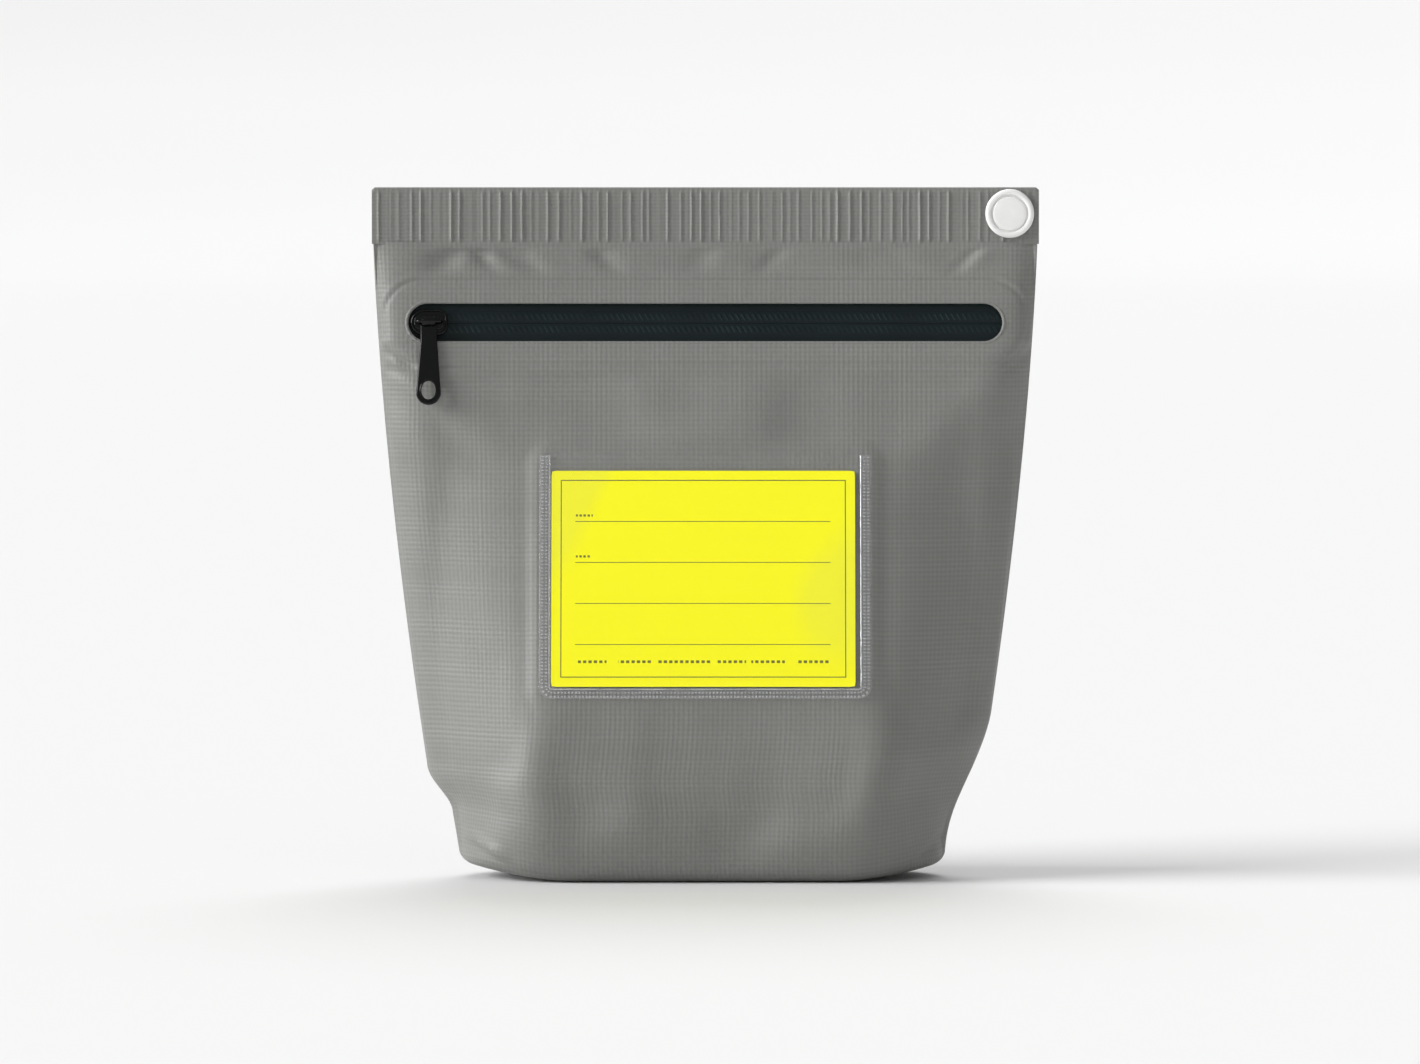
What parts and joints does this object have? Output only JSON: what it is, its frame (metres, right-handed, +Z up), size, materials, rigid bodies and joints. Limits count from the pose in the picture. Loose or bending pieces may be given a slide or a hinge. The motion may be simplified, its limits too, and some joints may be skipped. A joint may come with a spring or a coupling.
{
  "type": "stand-up zip pouch",
  "caption": "Stand-up tarpaulin pouch: boxed foot, welded top band, coil zip across the front, clear card pocket with a card, and a press-snap hang strap.",
  "frame": {"origin": "middle of the flat face that the pouch stands on", "axes": "+Z up out of the foot, -Y out of the front with the zip, +X to the right seen from the front"},
  "size_m": [0.2, 0.0634, 0.207],
  "materials": {
    "tarp": "satin coated woven sheet",
    "lining": "matte woven cloth",
    "zip_tape": "matte coated woven tape",
    "zip_coil": "satin",
    "zip_stop": "satin",
    "slider_metal": "gloss",
    "clear_vinyl": "clear gloss",
    "card": "matte",
    "snap": "gloss"
  },
  "bodies": {
    "pouch": {"front_panel": "tarp", "back_panel": "tarp", "base_panel": "tarp", "top_band": "tarp", "lining_front": "lining", "lining_back": "lining", "lining_base": "lining", "zip_tape_upper": "zip_tape", "zip_tape_lower": "zip_tape", "zip_coil_upper": "zip_coil", "zip_coil_lower": "zip_coil", "zip_top_stop_upper": "zip_stop", "zip_top_stop_lower": "zip_stop", "zip_bottom_stop": "zip_stop", "card_pocket": "clear_vinyl", "snap_cap": "snap", "snap_stud": "snap"},
    "slider": {"slider_body": "slider_metal", "slider_crown": "slider_metal"},
    "puller": {"slider_puller": "slider_metal"},
    "card": {"index_card": "card"},
    "strap": {"hang_strap": "tarp", "snap_socket": "snap", "strap_cap": "snap"}
  },
  "joints": [
    {"name": "slider_slide", "type": "slide", "parent": "pouch", "child": "slider", "axis": [1, 0, 0], "range_m": [0, 0.1654]},
    {"name": "puller_swing", "type": "hinge", "parent": "slider", "child": "puller", "pos_m": [-0.0827, -0.00799, 0.16701], "axis": [-1, 0, 0], "range_deg": [0, 165]},
    {"name": "card_slide", "type": "slide", "parent": "pouch", "child": "card", "axis": [0, 0.1942, 0.981], "range_m": [0, 0.066]},
    {"name": "strap_swing", "type": "hinge", "parent": "pouch", "child": "strap", "pos_m": [0.0912, 0.01037, 0.15], "axis": [-1, 0, 0], "range_deg": [0, 120]}
  ]
}
